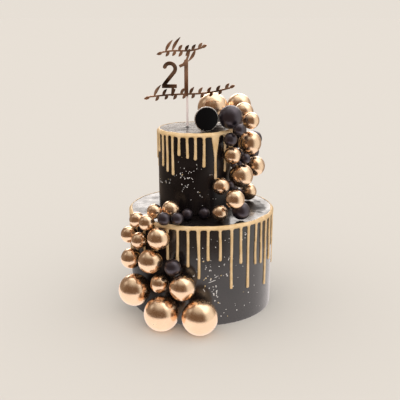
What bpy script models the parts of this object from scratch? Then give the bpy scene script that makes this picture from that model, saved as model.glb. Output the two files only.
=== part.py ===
"""Two-tier drip cake: black iced tiers, gold drips, a cascade of gold and black balls, topper and plaque.

Metres, +Z up. The origin is the centre of the lower tier's underside, and the front is -Y.
"""
import math
import random
from collections import namedtuple

import bmesh
import bpy
from mathutils import Matrix, Vector

MM = 0.001
GAP = 0.3 * MM                    # left between pieces that touch

# Driving dimensions
LOWER_RADIUS = 100 * MM
LOWER_HEIGHT = 138 * MM
UPPER_RADIUS = 50.5 * MM
UPPER_HEIGHT = 111 * MM
UPPER_X = -8.9 * MM               # the upper tier stands left of the lower one's axis
EDGE_BEVEL = 2.5 * MM
FOOT_BEVEL = 1 * MM
TIER_STEPS = 40

DRIP_THICKNESS = 1.6 * MM
DRIP_LIP = 3 * MM                 # how far the drip's ring covers the tier's top
DRIP_BAND = 3 * MM                # depth of the ring where no drip runs
DRIP_HALF_WIDTH = 2.1 * MM
DRIP_ZONE = 70 * MM               # the part of the wall that balls keep clear for the drips

PLATE_THICKNESS = 3 * MM
STEM_HALF_WIDTH = 1.2             # of the topper's sprigs, in mm
LEAF_HALF_WIDTH = 2.3
LEAF_TIP = 0.35
LEAF_SLANT = 58                   # degrees from the horizontal
FIRST_LEAF = (200, 8)             # slant in degrees and length in mm of the leaf at a sprig's start
LAST_LEAF = (25, 7)
STEM_RISE = 1.7                   # over 1, so that a stem rises more towards its end
STICK_RADIUS = 1.4 * MM
STICK_X = UPPER_X - 10.3 * MM
PLAQUE_RADIUS = 16.3 * MM
PLAQUE_PLACE = (6.7 * MM, -35 * MM)
PLAQUE_TURN = math.radians(14)    # it faces a little to the right

LOWER_TOP = LOWER_HEIGHT
UPPER_FOOT = LOWER_TOP + GAP
UPPER_TOP = UPPER_FOOT + UPPER_HEIGHT

Tier = namedtuple("Tier", "axis_x radius foot top")
LOWER = Tier(0.0, LOWER_RADIUS, 0.0, LOWER_TOP)
UPPER = Tier(UPPER_X, UPPER_RADIUS, UPPER_FOOT, UPPER_TOP)

# Drips at the front: (degrees round the tier, drop in mm, spread of the root in mm)
Drip = namedtuple("Drip", "angle drop spread")
UPPER_FRONT_DRIPS = (
    Drip(-160, 28, 0), Drip(-147, 46, 0), Drip(-136, 52, 0), Drip(-125, 55, 0), Drip(-114, 28, 0),
    Drip(-101, 31, 0), Drip(-89, 33, 0), Drip(-76, 43, 0), Drip(-57, 61, 3.5), Drip(-37, 53, 1.5),
)
LOWER_FRONT_DRIPS = (
    Drip(-116, 46, 0), Drip(-108, 49, 0), Drip(-100, 53, 0), Drip(-92, 69, 0.8), Drip(-85, 44, 0),
    Drip(-76, 45, 0), Drip(-67, 86, 0.3), Drip(-59, 53, 0), Drip(-52, 90, 0.3), Drip(-44, 60, 0),
    Drip(-37, 62, 0), Drip(-30, 97, 0), Drip(-22, 65, 0),
)
UPPER_DRIP_STEP = 15              # mean degrees between the drips of the unseen side
LOWER_DRIP_STEP = 11

# Balls: colour, diameter and height of the centre in mm, degrees round the tier, and how far the ball
# stands off the tier's wall in mm. A ball that would touch another moves out until it is clear.
Ball = namedtuple("Ball", "colour diameter tier angle height stand_off")
LOWER_WALL_BALLS = (
    Ball("gold", 43, LOWER, -137, 45, 0), Ball("gold", 46, LOWER, -115, 23.5, 0),
    Ball("gold", 47, LOWER, -91, 24, 0), Ball("gold", 34, LOWER, -102, 61, 0),
    Ball("gold", 25, LOWER, -119, 60, 0), Ball("gold", 32, LOWER, -124, 91, 0),
    Ball("gold", 28, LOWER, -144, 84, 0), Ball("black", 22, LOWER, -109, 86, 0),
    Ball("gold", 29, LOWER, -118, 124, 0), Ball("gold", 22, LOWER, -136, 113, 0),
    Ball("gold", 23, LOWER, -148, 115, 0),
)
LOWER_TOP_BALLS = (
    Ball("black", 15, UPPER, -79, 146, 8), Ball("black", 15, UPPER, -98, 146, 12),
    Ball("gold", 24, UPPER, -116, 151, 9), Ball("gold", 20, UPPER, -127, 150, 27),
    Ball("black", 16, UPPER, -103, 148, 39), Ball("black", 17, UPPER, -112, 148, 45),
    Ball("gold", 20, LOWER, -139, 140, 2), Ball("gold", 21, LOWER, -128, 141, 4),
    Ball("black", 24, UPPER, -49, 151, 30), Ball("gold", 21, UPPER, -66, 149, 20),
    Ball("gold", 25, UPPER, -58, 170, 33), Ball("gold", 25, UPPER, 19, 151, 18),
)
UPPER_WALL_BALLS = (
    Ball("gold", 23, UPPER, -57.5, 180, 2.2), Ball("gold", 33, UPPER, -25.5, 188.5, 2.2),
    Ball("gold", 29, UPPER, 12.5, 191, 22), Ball("gold", 23, UPPER, -39, 218.5, 0),
    Ball("gold", 32, UPPER, -4.5, 229, 9), Ball("black", 23, UPPER, 15, 229.5, 24),
    Ball("black", 18, UPPER, -40, 240, 0),
)
UPPER_TOP_BALLS = (
    Ball("black", 32, UPPER, -29, 267.5, -12), Ball("gold", 43, UPPER, 46, 272.5, -36),
    Ball("gold", 23, UPPER, -10.5, 261, 15), Ball("gold", 27, UPPER, 8, 269, 4),
    Ball("gold", 34, UPPER, 34, 274, 8), Ball("black", 15, UPPER, -38, 254.5, 16),
)
INNER_BALLS = (                   # in the hollows behind the balls of the right-hand cascade
    Ball("black", 14, UPPER, -24, 212.5, 17), Ball("black", 23, UPPER, 25, 226.5, 4),
    Ball("black", 15, UPPER, 24, 155.5, 2.5), Ball("black", 23, UPPER, 36, 244.5, 13),
    Ball("black", 17, UPPER, 8, 204, 9), Ball("black", 22, UPPER, 25, 208, 21),
    Ball("black", 24, UPPER, 38, 198.5, 6), Ball("black", 20, UPPER, 11, 244, 2.5),
)
SEAT_STEP = 0.1 * MM
# (least diameter in mm, segments, rings), from the finest
BALL_FACETS = ((40, 12, 8), (30, 12, 6), (0, 8, 6))


def clear_scene():
    for obj in list(bpy.data.objects):
        bpy.data.objects.remove(obj)


def new_collection(name):
    collection = bpy.data.collections.new(name)
    bpy.context.scene.collection.children.link(collection)
    return collection


def finish(name, colour, roughness, metallic=0.0, transmission=0.0):
    material = bpy.data.materials.new(name)
    material.use_nodes = True
    shader = material.node_tree.nodes["Principled BSDF"]
    shader.inputs["Base Color"].default_value = (*colour, 1)
    shader.inputs["Roughness"].default_value = roughness
    shader.inputs["Metallic"].default_value = metallic
    shader.inputs["Transmission Weight"].default_value = transmission
    return material


def add_object(name, mesh, material, collection):
    obj = bpy.data.objects.new(name, mesh)
    if material:
        mesh.materials.append(material)
    collection.objects.link(obj)
    return obj


def smooth(mesh, degrees=40):
    mesh.shade_smooth()
    mesh.set_sharp_from_angle(angle=math.radians(degrees))


def mesh_from(name, build):
    """A mesh that build(bm) fills, with its normals facing out."""
    mesh = bpy.data.meshes.new(name)
    bm = bmesh.new()
    build(bm)
    bmesh.ops.recalc_face_normals(bm, faces=bm.faces)
    bm.to_mesh(mesh)
    bm.free()
    return mesh


# Tiers

def tier(name, place, material, collection):
    """A turned cylinder with a soft top edge and a small foot bevel."""
    height = place.top - place.foot
    profile = [(0, height)]
    for turn in (90, 45, 0):
        angle = math.radians(turn)
        profile.append((place.radius - EDGE_BEVEL * (1 - math.cos(angle)),
                        height - EDGE_BEVEL * (1 - math.sin(angle))))
    profile += [(place.radius, FOOT_BEVEL), (place.radius - FOOT_BEVEL, 0), (0, 0)]
    mesh = bpy.data.meshes.new(name)
    edges = [(i, i + 1) for i in range(len(profile) - 1)]
    mesh.from_pydata([(rho, 0, z) for rho, z in profile], edges, [])
    obj = add_object(name, mesh, material, collection)
    obj.location = (place.axis_x, 0, place.foot)
    screw = obj.modifiers.new("turn", "SCREW")
    screw.steps = TIER_STEPS
    screw.render_steps = TIER_STEPS
    screw.use_merge_vertices = True
    screw.merge_threshold = 0.00001
    return obj


# Drips

def all_drips(front, step, seed, drops):
    """The front drips, and drips by a seeded rule round the rest of the tier."""
    chance = random.Random(seed)
    first = front[0].angle + 360
    last = front[-1].angle
    count = round((first - last) / step) - 1
    pitch = (first - last) / (count + 1)
    found = list(front)
    for i in range(count):
        angle = last + pitch * (i + 1) + chance.uniform(-0.12, 0.12) * pitch
        found.append(Drip(angle, chance.uniform(*drops), chance.choice((0, 0, 0.5))))
    return found


def drip_columns(drips, radius):
    """(degrees, depth of the hem) round the ring: arch, drip side, tip, drip side for each drip."""
    to_degrees = math.degrees(1 / radius)
    columns = []
    for i, drip in enumerate(drips):
        after = drips[(i + 1) % len(drips)]
        turn = (after.angle - drip.angle) % 360
        arch = (turn / to_degrees / 2 - DRIP_HALF_WIDTH) * 0.6
        root = DRIP_HALF_WIDTH + drip.spread * MM
        drop = drip.drop * MM
        tip = DRIP_HALF_WIDTH * 0.6
        for side, depth in ((-root, DRIP_BAND + arch), (-tip, drop), (tip, drop), (root, DRIP_BAND + arch)):
            columns.append((drip.angle + side * to_degrees, depth))
        columns.append((drip.angle + turn / 2, DRIP_BAND))
    return columns


def drip_ring(name, place, drips, material, collection):
    """A ring that laps over the tier's rim, with the drips as deep places in its hem."""
    wall = place.radius + GAP
    face = wall + DRIP_THICKNESS
    top = place.top + GAP

    def build(bm):
        rings = []
        for degrees, depth in drip_columns(drips, place.radius):
            section = (
                (place.radius - DRIP_LIP, top),
                (place.radius - 0.5 * MM, top + 0.9 * MM),
                (face, top - 1.2 * MM),
                (face, place.top - depth),
                (wall, place.top - depth),
                (wall, top),
            )
            out = Vector((math.cos(math.radians(degrees)), math.sin(math.radians(degrees)), 0))
            rings.append([bm.verts.new(out * rho + Vector((place.axis_x, 0, z))) for rho, z in section])
        for ring, after in zip(rings, rings[1:] + rings[:1]):
            for k in range(len(ring)):
                m = (k + 1) % len(ring)
                bm.faces.new((ring[k], ring[m], after[m], after[k]))

    mesh = mesh_from(name, build)
    return add_object(name, mesh, material, collection)


# Balls

def gap_to_ring(point, axis_x, inner, outer, low, high):
    """Distance from a point to a turned ring of rectangular section; inner below 0 makes a full disc."""
    rho = math.hypot(point.x - axis_x, point.y)
    across = max(inner - rho, rho - outer)
    along = max(low - point.z, point.z - high)
    if across > 0 and along > 0:
        return math.hypot(across, along)
    return max(across, along)


def gap_to_tiers(point):
    """Distance to the nearest tier, or to the space that its drips take."""
    gaps = []
    for place in (LOWER, UPPER):
        gaps.append(gap_to_ring(point, place.axis_x, -1, place.radius, place.foot, place.top))
        gaps.append(gap_to_ring(point, place.axis_x, place.radius - DRIP_LIP - GAP,
                                place.radius + DRIP_THICKNESS + GAP, place.top - DRIP_ZONE,
                                place.top + 1.2 * MM))
    return min(gaps)


def seat_ball(ball, seated):
    """The ball's centre: out from the tier's wall until it is clear of the tiers and the earlier balls."""
    radius = ball.diameter * MM / 2
    out = Vector((math.cos(math.radians(ball.angle)), math.sin(math.radians(ball.angle)), 0))
    foot = Vector((ball.tier.axis_x, 0, ball.height * MM))
    reach = ball.tier.radius + radius + ball.stand_off * MM
    while True:
        centre = foot + out * reach
        clear = gap_to_tiers(centre) >= radius + GAP
        if clear and all((centre - other).length >= radius + r + GAP for other, r in seated):
            return centre
        reach += SEAT_STEP


def ball_mesh(name, diameter):
    segments, rings = next(facets[1:] for facets in BALL_FACETS if diameter >= facets[0])

    def build(bm):
        bmesh.ops.create_uvsphere(bm, u_segments=segments, v_segments=rings, radius=diameter * MM / 2)

    return mesh_from(name, build)


def balls(materials, collection):
    seated = []
    number = {"gold": 0, "black": 0}
    for ball in LOWER_WALL_BALLS + LOWER_TOP_BALLS + UPPER_WALL_BALLS + UPPER_TOP_BALLS + INNER_BALLS:
        centre = seat_ball(ball, seated)
        seated.append((centre, ball.diameter * MM / 2))
        number[ball.colour] += 1
        name = f"{ball.colour}_ball_{number[ball.colour]:02d}"
        obj = add_object(name, ball_mesh(name, ball.diameter), materials[ball.colour], collection)
        smooth(obj.data, 180)
        obj.location = centre


# Topper: a flat plate of ribbons in the XZ plane, measured in mm from the stick and the cake's top

def ribbon(name, line, half_width):
    """A closed flat ribbon along a line of (x, z) points; half_width takes the share of its length."""
    points = [Vector((x * MM, 0, z * MM)) for x, z in line]
    count = len(points)

    def build(bm):
        sections = []
        for i, point in enumerate(points):
            ahead = points[min(i + 1, count - 1)] - points[max(i - 1, 0)]
            side = Vector((-ahead.z, 0, ahead.x)).normalized() * half_width(i / (count - 1)) * MM
            back = Vector((0, PLATE_THICKNESS, 0))
            sections.append([bm.verts.new(p) for p in (point + side, point - side,
                                                       point - side + back, point + side + back)])
        for section, after in zip(sections, sections[1:]):
            for k in range(4):
                m = (k + 1) % 4
                bm.faces.new((section[k], section[m], after[m], after[k]))
        bm.faces.new(sections[0])
        bm.faces.new(sections[-1])

    return mesh_from(name, build)


def arc(centre, radius, start, end, steps):
    """Points on a circle from start to end degrees."""
    turns = (math.radians(start + (end - start) * i / steps) for i in range(steps + 1))
    return [(centre[0] + radius * math.cos(a), centre[1] + radius * math.sin(a)) for a in turns]


def stem(start, end, steps, swing):
    """A stem's line with one slow wave, which rises more towards its end."""
    points = []
    for i in range(steps + 1):
        share = i / steps
        rise = (end[1] - start[1]) * share ** STEM_RISE + swing * math.sin(2 * math.pi * share)
        points.append((start[0] + (end[0] - start[0]) * share, start[1] + rise))
    return points


def leaf(root, degrees, length):
    """A short straight line for a leaf."""
    angle = math.radians(degrees)
    return [(root[0] + length * share * math.cos(angle), root[1] + length * share * math.sin(angle))
            for share in (0, 0.45, 1)]


def even(width):
    return lambda share: width


def pointed(share):
    """Half width of a leaf: a narrow root, a full middle and a fine tip."""
    return LEAF_TIP + (LEAF_HALF_WIDTH - LEAF_TIP) * math.sin(math.pi * share)


def sprig(line, above, below):
    """A stem with leaves above it at odd stations, leaves below it at even ones, and one at each end."""
    strokes = [(line, even(STEM_HALF_WIDTH))]
    for i, length in enumerate(above):
        strokes.append((leaf(line[2 * i + 1], LEAF_SLANT, length), pointed))
    for i, length in enumerate(below):
        strokes.append((leaf(line[2 * i + 2], LEAF_SLANT - 180, length), pointed))
    strokes.append((leaf(line[0], *FIRST_LEAF), pointed))
    strokes.append((leaf(line[-1], *LAST_LEAF), pointed))
    return strokes


def topper_strokes():
    """(line, half width) of each ribbon: plain numerals between two leafy sprigs."""
    two_top = arc((-23.1, 79.3), 7.2, 165, -38, 8)
    strokes = [
        (two_top + [(-30.3, 59.2), (-32, 56.2)], even(2.6)),
        ([(-34, 56.2), (-14, 56.2)], even(2.6)),
        ([(-1.2, 43), (-1.2, 91)], even(2.7)),
        ([(-10.2, 82.5), (-4.5, 85), (-0.2, 91)], even(2.0)),
        ([(-1.6, 88), (1.8, 97), (3.5, 105)], even(1.5)),
        ([(-19, 57), (-20.3, 43)], even(1.8)),
    ]
    strokes += sprig(stem((-33, 101), (20, 107), 12, 1.2), (18, 21, 9, 9, 9, 9), (8, 8, 9, 8, 18))
    strokes += sprig(stem((-51, 42), (58, 54), 18, 1.5), (18, 10, 9, 10, 11, 10, 9, 9, 9),
                     (8, 7, 8, 7, 7, 7, 7, 7))
    return strokes


def topper(material, collection, helpers):
    """The strokes joined into one plate."""
    made = []
    for i, (line, half_width) in enumerate(topper_strokes()):
        name = "topper_plate" if i == 0 else f"topper_stroke_{i:02d}"
        mesh = ribbon(name, line, half_width)
        obj = add_object(name, mesh, material, collection if i == 0 else helpers)
        obj.location = (STICK_X, -PLATE_THICKNESS / 2, UPPER_TOP)
        made.append(obj)
    for helper in made[1:]:
        helper.hide_render = True
        helper.display_type = "WIRE"
    union = made[0].modifiers.new("join", "BOOLEAN")
    union.operation = "UNION"
    union.operand_type = "COLLECTION"
    union.collection = helpers
    union.use_self = True


def upright_rod(name, radius, low, high, place, material, collection):
    def build(bm):
        bmesh.ops.create_cone(bm, cap_ends=True, segments=12, radius1=radius, radius2=radius,
                              depth=high - low)

    obj = add_object(name, mesh_from(name, build), material, collection)
    smooth(obj.data)
    obj.location = (place[0], place[1], (low + high) / 2)
    return obj


def disc(name, radius, thickness, behind, material, collection):
    """An upright disc of the plaque, standing on the upper tier with its face turned a little."""

    def build(bm):
        bmesh.ops.create_cone(bm, cap_ends=True, segments=24, radius1=radius, radius2=radius,
                              depth=thickness, matrix=Matrix.Rotation(math.pi / 2, 4, "X"))

    obj = add_object(name, mesh_from(name, build), material, collection)
    smooth(obj.data)
    turn = Matrix.Rotation(PLAQUE_TURN, 3, "Z")
    place = Vector((*PLAQUE_PLACE, UPPER_TOP + PLAQUE_RADIUS + 2 * GAP))
    obj.location = place + turn @ Vector((0, behind + thickness / 2, 0))
    obj.rotation_euler.z = PLAQUE_TURN
    return obj


def main():
    clear_scene()
    cake = new_collection("drip_cake")
    helpers = new_collection("topper_strokes")
    icing = finish("black_icing", (0.020, 0.017, 0.018), 0.45)
    drip = finish("gold_drip", (0.62, 0.42, 0.17), 0.35, metallic=0.6)
    gold = finish("gold_ball", (0.85, 0.55, 0.33), 0.2, metallic=1.0)
    black = finish("black_ball", (0.030, 0.025, 0.028), 0.55)
    mirror = finish("topper_mirror", (0.32, 0.16, 0.11), 0.1, metallic=1.0)
    clear = finish("clear_stick", (0.92, 0.82, 0.79), 0.1, transmission=0.6)
    plaque_black = finish("plaque_black", (0.010, 0.010, 0.011), 0.2)
    silver = finish("plaque_silver", (0.88, 0.87, 0.87), 0.15, metallic=1.0)

    tier("lower_tier", LOWER, icing, cake)
    tier("upper_tier", UPPER, icing, cake)
    drip_ring("lower_drip", LOWER, all_drips(LOWER_FRONT_DRIPS, LOWER_DRIP_STEP, 7, (42, 92)), drip, cake)
    drip_ring("upper_drip", UPPER, all_drips(UPPER_FRONT_DRIPS, UPPER_DRIP_STEP, 4, (26, 58)), drip, cake)
    balls({"gold": gold, "black": black}, cake)
    topper(mirror, cake, helpers)
    stick_y = PLATE_THICKNESS / 2 + GAP + STICK_RADIUS
    upright_rod("topper_stick", STICK_RADIUS, UPPER_TOP + GAP, UPPER_TOP + 75 * MM,
                (STICK_X, stick_y), clear, cake)
    disc("plaque_face", PLAQUE_RADIUS - 0.9 * MM, 1 * MM, -1 * MM - GAP, plaque_black, cake)
    disc("plaque_back", PLAQUE_RADIUS, 2 * MM, 0, silver, cake)


main()
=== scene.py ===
"""Looks of the two-tier drip cake: smooth icing, poured drips, polished balls, a mirrored topper, a stage."""
import math
import random
from collections import namedtuple

import bpy
import numpy as np
from bpy.props import FloatProperty, FloatVectorProperty, PointerProperty
from mathutils import Matrix, Vector, noise


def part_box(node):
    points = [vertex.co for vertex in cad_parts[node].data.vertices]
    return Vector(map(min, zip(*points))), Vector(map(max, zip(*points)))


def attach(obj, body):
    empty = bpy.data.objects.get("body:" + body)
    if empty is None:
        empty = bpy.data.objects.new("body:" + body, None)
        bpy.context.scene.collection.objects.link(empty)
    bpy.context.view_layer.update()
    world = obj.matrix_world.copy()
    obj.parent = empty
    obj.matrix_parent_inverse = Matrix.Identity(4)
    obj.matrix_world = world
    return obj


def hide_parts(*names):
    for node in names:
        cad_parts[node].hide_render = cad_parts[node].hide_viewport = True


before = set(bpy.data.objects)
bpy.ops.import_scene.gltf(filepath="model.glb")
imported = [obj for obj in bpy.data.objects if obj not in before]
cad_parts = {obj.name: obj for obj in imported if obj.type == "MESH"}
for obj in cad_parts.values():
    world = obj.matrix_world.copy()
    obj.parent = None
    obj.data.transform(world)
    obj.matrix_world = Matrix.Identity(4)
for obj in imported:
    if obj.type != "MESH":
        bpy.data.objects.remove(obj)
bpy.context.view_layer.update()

bl_info = {
    "name": "Drip Cake",
    "version": (1, 0, 0),
    "blender": (4, 5, 0),
    "location": "View3D > Sidebar > Drip Cake",
    "description": "Dresses a two-tier drip cake with icing, drips, balls, a topper and a plaque",
    "category": "Object",
}

MM = 0.001
ROOT = "root"

# The tiers, as their solids say
Tier = namedtuple("Tier", "axis_x radius foot top")


def read_tier(node):
    low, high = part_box(node)
    return Tier((low.x + high.x) / 2, (high.x - low.x) / 2, low.z, high.z)


LOWER = read_tier("lower_tier")
UPPER = read_tier("upper_tier")
EDGE_BEVEL = 2.5 * MM
FOOT_BEVEL = 1 * MM

# Drips, where their solids are: (degrees round the tier, drop in mm, spread of the root in mm)
Drip = namedtuple("Drip", "angle drop spread")
UPPER_FRONT_DRIPS = (
    Drip(-160, 28, 0), Drip(-147, 46, 0), Drip(-136, 52, 0), Drip(-125, 55, 0), Drip(-114, 28, 0),
    Drip(-101, 31, 0), Drip(-89, 33, 0), Drip(-76, 43, 0), Drip(-57, 61, 5), Drip(-37, 53, 1.5),
)
LOWER_FRONT_DRIPS = (
    Drip(-116, 46, 0), Drip(-108, 49, 0), Drip(-100, 53, 0), Drip(-92, 69, 0.8), Drip(-85, 44, 0),
    Drip(-76, 45, 0), Drip(-67, 86, 0.3), Drip(-59, 53, 0), Drip(-52, 90, 0.3), Drip(-44, 60, 0),
    Drip(-37, 62, 0), Drip(-30, 97, 0), Drip(-22, 65, 0),
)
UPPER_DRIP_STEP = 15              # mean degrees between the drips of the unseen side
LOWER_DRIP_STEP = 11
UPPER_DROPS = (26, 58)            # least and most drop there, in mm
LOWER_DROPS = (42, 92)
DRIP_BAND = 2.7                   # mm of the hem where no drip runs
DRIP_LIP = 3.0                    # mm that the drip covers of the tier's top
DRIP_HALF_WIDTH = 2.0             # mm
DRIP_BLEND = 4.5                  # mm over which drips and band run together
DRIP_BULGE = 2.1                  # mm from the hem to the full thickness
DRIP_ON_TOP = 0.5 * MM            # most thickness on the tier's top
DRIP_SINK = 0.2 * MM              # how far its back is set into the icing
DRIP_STEP_ROUND = 0.62            # mm between the grid's columns
DRIP_STEP_DOWN = 0.8              # mm between its rows

TIER_SEGMENTS = 180
BALL_SEGMENTS = 56
BALL_RINGS = 36
PEARL_SEGMENTS = 28
PEARL_RINGS = 18


# Settings that a user would change

def colour_property(name, description, default):
    return FloatVectorProperty(name=name, description=description, default=default, size=3, min=0, max=1,
                               subtype="COLOR")


class IcingSettings(bpy.types.PropertyGroup):
    colour: colour_property("Icing colour", "The icing where it is darkest", (0.0042, 0.0029, 0.0029))
    bloom: colour_property("Icing bloom", "The icing where it is palest", (0.0115, 0.0082, 0.0080))
    unevenness: FloatProperty(name="Unevenness", description="How far the icing's wall wavers",
                              default=0.45 * MM, min=0, max=2 * MM, unit="LENGTH", precision=5)


class DripSettings(bpy.types.PropertyGroup):
    colour: colour_property("Drip colour", "The gold drip where it is palest", (0.735, 0.53, 0.305))
    shade: colour_property("Drip shade", "The gold drip where it is darkest", (0.62, 0.42, 0.20))
    thickness: FloatProperty(name="Drip thickness", description="Thickness of the drip at its fullest",
                             default=1.75 * MM, min=0.5 * MM, max=1.9 * MM, unit="LENGTH", precision=5)


class BallSettings(bpy.types.PropertyGroup):
    gold: colour_property("Gold ball", "The polished balls' colour", (0.96, 0.70, 0.485))
    black: colour_property("Black ball", "The matt balls' colour", (0.0085, 0.0062, 0.0092))


class TopperSettings(bpy.types.PropertyGroup):
    mirror: colour_property("Topper mirror", "The mirrored topper's colour", (0.62, 0.37, 0.24))
    stick: colour_property("Stick tint", "The clear stick's tint", (0.88, 0.76, 0.73))
    plaque: colour_property("Plaque face", "The round plaque's face", (0.003, 0.003, 0.0035))


class StageSettings(bpy.types.PropertyGroup):
    floor: colour_property("Floor colour", "The floor's colour", (0.588, 0.564, 0.528))
    backdrop: colour_property("Backdrop colour", "The backdrop's colour", (0.80, 0.74, 0.668))
    sun: FloatProperty(name="Sun strength", description="Strength of the key light", default=0.75, min=0)
    spill: FloatProperty(name="Sun angle", description="Width of the key light, which softens shadows",
                         default=math.radians(30), min=0, max=math.pi, subtype="ANGLE")


# Mesh helpers

def new_piece(name, points, faces, materials, slot, nodes=()):
    """A mesh object that rides on the root and stands for the named solids."""
    mesh = bpy.data.meshes.new(name)
    mesh.from_pydata([tuple(p) for p in points], [], [tuple(int(i) for i in f) for f in faces])
    mesh.validate()
    for material in materials:
        mesh.materials.append(material)
    mesh.shade_smooth()
    piece = bpy.data.objects.new(name, mesh)
    bpy.context.scene.collection.objects.link(piece)
    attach(piece, ROOT)
    if nodes:
        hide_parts(*nodes)
    return piece


def lathe(profile, steps, place):
    """Points and faces of a closed turned form. profile starts and ends on the axis; place takes
    (turn in radians, radius, height) to a point."""
    rings = profile[1:-1]
    points = [place(0, 0, profile[0][1])]
    for rho, z in rings:
        for k in range(steps):
            points.append(place(2 * math.pi * k / steps, rho, z))
    points.append(place(0, 0, profile[-1][1]))
    last = len(points) - 1
    faces = []
    for k in range(steps):
        m = (k + 1) % steps
        faces.append((0, 1 + m, 1 + k))
        for j in range(len(rings) - 1):
            a = 1 + j * steps
            b = a + steps
            faces.append((a + k, a + m, b + m, b + k))
        a = 1 + (len(rings) - 1) * steps
        faces.append((a + k, a + m, last))
    return points, faces


def arc_points(rho, z, radius, start, end, steps):
    """(radius, height) stations round a corner."""
    found = []
    for i in range(steps + 1):
        turn = math.radians(start + (end - start) * i / steps)
        found.append((rho + radius * math.cos(turn), z + radius * math.sin(turn)))
    return found


def filled_cells(field):
    """Polygons of a field's positive part on its grid: (corners, faces, rim).

    A corner is (row, column) in grid steps, rim holds the corners on the outline, and the outline is
    where the field is zero."""
    rows, columns = field.shape
    corners = []
    index = {}
    rim = set()

    def corner(key, place, on_rim):
        if key not in index:
            index[key] = len(corners)
            corners.append(place)
            if on_rim:
                rim.add(index[key])
        return index[key]

    faces = []
    inside = field > 0
    busy = inside[:-1, :-1] | inside[1:, :-1] | inside[:-1, 1:] | inside[1:, 1:]
    for i, j in zip(*np.nonzero(busy)):
        loop = ((i, j), (i, j + 1), (i + 1, j + 1), (i + 1, j))
        face = []
        for k in range(4):
            a = loop[k]
            b = loop[(k + 1) % 4]
            if inside[a]:
                face.append(corner(a, (float(a[0]), float(a[1])), False))
            if inside[a] != inside[b]:
                share = field[a] / (field[a] - field[b])
                place = (a[0] + (b[0] - a[0]) * share, a[1] + (b[1] - a[1]) * share)
                face.append(corner((min(a, b), max(a, b)), place, True))
        if len(face) > 2:
            faces.append(face)
    return np.array(corners), faces, rim


def sample(field, corners):
    """The field at each corner, between grid points."""
    low = np.minimum(np.floor(corners).astype(int), np.array(field.shape) - 2)
    share = corners - low
    i, j = low[:, 0], low[:, 1]
    top = field[i, j] * (1 - share[:, 1]) + field[i, j + 1] * share[:, 1]
    bottom = field[i + 1, j] * (1 - share[:, 1]) + field[i + 1, j + 1] * share[:, 1]
    return top * (1 - share[:, 0]) + bottom * share[:, 0]


# Materials

NOISE_LOW = 0.35                  # the range that most of a noise texture lies in
NOISE_HIGH = 0.65


def mix_socket(node, name):
    """The colour mix node's input of that name: it has one for each kind of value."""
    return next(s for s in node.inputs if s.name == name and s.type == "RGBA")


class NodeKit:
    """A node tree and the calls that both materials and the world need."""

    def __init__(self, tree):
        self.nodes = tree.nodes
        self.links = tree.links

    def math(self, operation, first, second=0.0):
        node = self.nodes.new("ShaderNodeMath")
        node.operation = operation
        for socket, value in zip(node.inputs, (first, second)):
            if isinstance(value, (int, float)):
                socket.default_value = value
            else:
                self.links.new(value, socket)
        return node.outputs[0]


class Finish(NodeKit):
    """A material with its nodes, built from a few plain calls."""

    def __init__(self, name, colour, roughness, **sockets):
        self.material = bpy.data.materials.new(name)
        self.material.use_nodes = True
        super().__init__(self.material.node_tree)
        self.shader = self.nodes["Principled BSDF"]
        self.shader.inputs["Base Color"].default_value = (*colour, 1)
        self.shader.inputs["Roughness"].default_value = roughness
        for socket, value in sockets.items():
            self.shader.inputs[socket.replace("_", " ")].default_value = value
        self.place = self.nodes.new("ShaderNodeTexCoord").outputs["Object"]

    def noise(self, scale, detail=2.0, stretch=(1, 1, 1)):
        node = self.nodes.new("ShaderNodeTexNoise")
        node.inputs["Scale"].default_value = scale
        node.inputs["Detail"].default_value = detail
        mapping = self.nodes.new("ShaderNodeMapping")
        mapping.inputs["Scale"].default_value = stretch
        self.links.new(self.place, mapping.inputs["Vector"])
        self.links.new(mapping.outputs["Vector"], node.inputs["Vector"])
        return node.outputs["Fac"]

    def between(self, value, low, high):
        """value's middle range taken to low..high."""
        node = self.nodes.new("ShaderNodeMapRange")
        node.inputs["From Min"].default_value = NOISE_LOW
        node.inputs["From Max"].default_value = NOISE_HIGH
        node.inputs["To Min"].default_value = low
        node.inputs["To Max"].default_value = high
        self.links.new(value, node.inputs["Value"])
        return node.outputs["Result"]

    def beyond(self, middle, reach, ragged):
        """0 near middle and 1 beyond reach of it, with a ragged edge."""
        mapping = self.nodes.new("ShaderNodeMapping")
        mapping.inputs["Scale"].default_value = [1 / part for part in reach]
        mapping.inputs["Location"].default_value = [-m / part for m, part in zip(middle, reach)]
        self.links.new(self.place, mapping.inputs["Vector"])
        length = self.nodes.new("ShaderNodeVectorMath")
        length.operation = "LENGTH"
        self.links.new(mapping.outputs["Vector"], length.inputs[0])
        away = self.nodes.new("ShaderNodeMapRange")
        away.inputs["From Min"].default_value = 0.9
        away.inputs["From Max"].default_value = 1.1
        self.links.new(self.math("ADD", length.outputs["Value"], ragged), away.inputs["Value"])
        return away.outputs["Result"]

    def blend(self, value, first, second):
        node = self.nodes.new("ShaderNodeMix")
        node.data_type = "RGBA"
        mix_socket(node, "A").default_value = (*first, 1)
        mix_socket(node, "B").default_value = (*second, 1)
        self.links.new(self.between(value, 0, 1), node.inputs["Factor"])
        return next(s for s in node.outputs if s.type == "RGBA")

    def set(self, socket, output):
        self.links.new(output, self.shader.inputs[socket])

    def bump(self, value, strength, distance):
        node = self.nodes.new("ShaderNodeBump")
        node.inputs["Strength"].default_value = strength
        node.inputs["Distance"].default_value = distance
        self.links.new(value, node.inputs["Height"])
        before = self.shader.inputs["Normal"]
        if before.is_linked:
            self.links.new(before.links[0].from_socket, node.inputs["Normal"])
        self.links.new(node.outputs["Normal"], before)


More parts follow.
